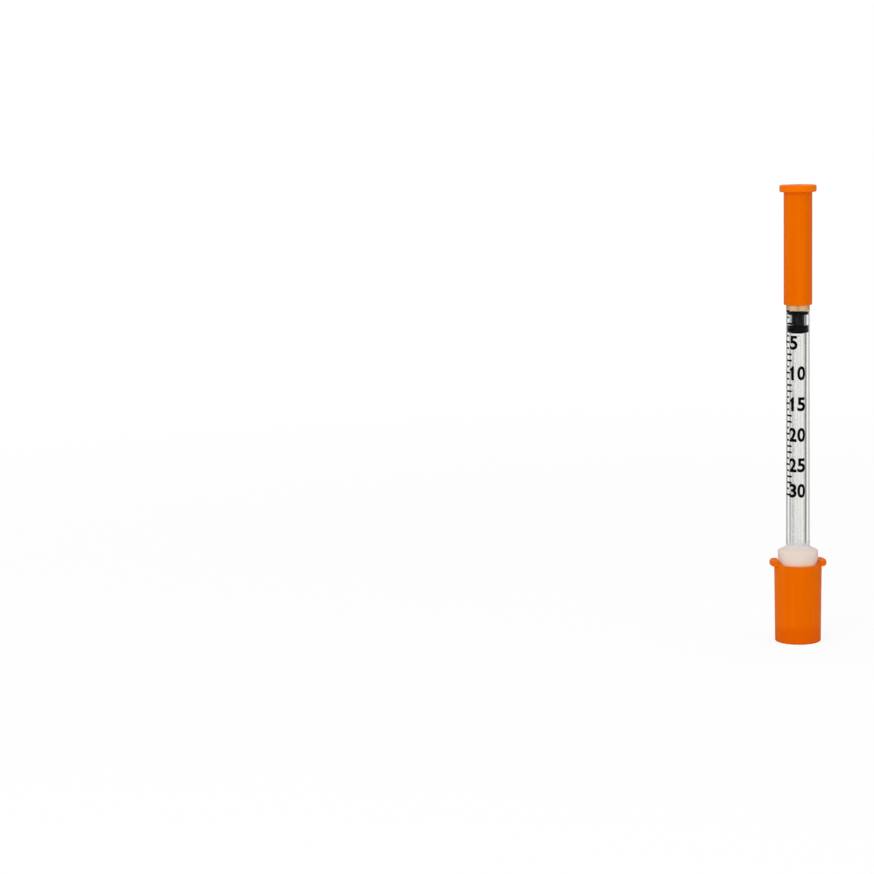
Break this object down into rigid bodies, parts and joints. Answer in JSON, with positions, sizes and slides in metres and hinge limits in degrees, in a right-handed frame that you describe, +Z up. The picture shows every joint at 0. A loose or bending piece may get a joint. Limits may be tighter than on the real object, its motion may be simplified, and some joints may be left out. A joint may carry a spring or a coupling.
{
  "type": "insulin syringe",
  "caption": "Slim insulin syringe with a fixed needle: clear barrel, black stopper, cross-ribbed rod, orange needle cap, and an orange plunger cap with lugs that it stands on.",
  "frame": {"origin": "middle of the syringe's axis at the plane that the plunger cap's foot ring stands on", "axes": "+Z up the axis from the plunger cap to the needle cap, -Y out of the side that carries the printed scale, +X to its right"},
  "size_m": [0.0122, 0.0104, 0.101],
  "materials": {
    "orange_polyethylene": "moulded orange polyethylene, satin, slightly translucent at its edges",
    "clear_polypropylene": "clarified polypropylene, glossy and see-through, with a printed scale",
    "natural_polypropylene": "natural polypropylene, smooth, cloudy and see-through",
    "black_rubber": "moulded black rubber, smooth, wetted with silicone oil",
    "needle_steel": "drawn stainless steel tube, polished",
    "clear_adhesive": "cured clear adhesive, glossy"
  },
  "bodies": {
    "plunger_cap": {"plunger_cap": "orange_polyethylene"},
    "plunger_rod": {"plunger_rod": "natural_polypropylene"},
    "stopper": {"stopper": "black_rubber"},
    "barrel": {"barrel": "clear_polypropylene", "needle": "needle_steel", "needle_adhesive": "clear_adhesive"},
    "needle_cap": {"needle_cap": "orange_polyethylene"}
  },
  "joints": [
    {"name": "plunger_cap_pull", "type": "slide", "parent": "plunger_cap", "child": "plunger_rod", "axis": [0, 0, 1], "range_m": [0, 0.018]},
    {"name": "rod_swivel", "type": "hinge", "parent": "plunger_rod", "child": "stopper", "pos_m": [0, 0, 0.07], "axis": [0, 0, 1], "continuous": true},
    {"name": "plunger_slide", "type": "slide", "parent": "stopper", "child": "barrel", "axis": [0, 0, 1], "range_m": [0, 0.042]},
    {"name": "needle_cap_pull", "type": "slide", "parent": "barrel", "child": "needle_cap", "axis": [0, 0, 1], "range_m": [0, 0.022]}
  ]
}
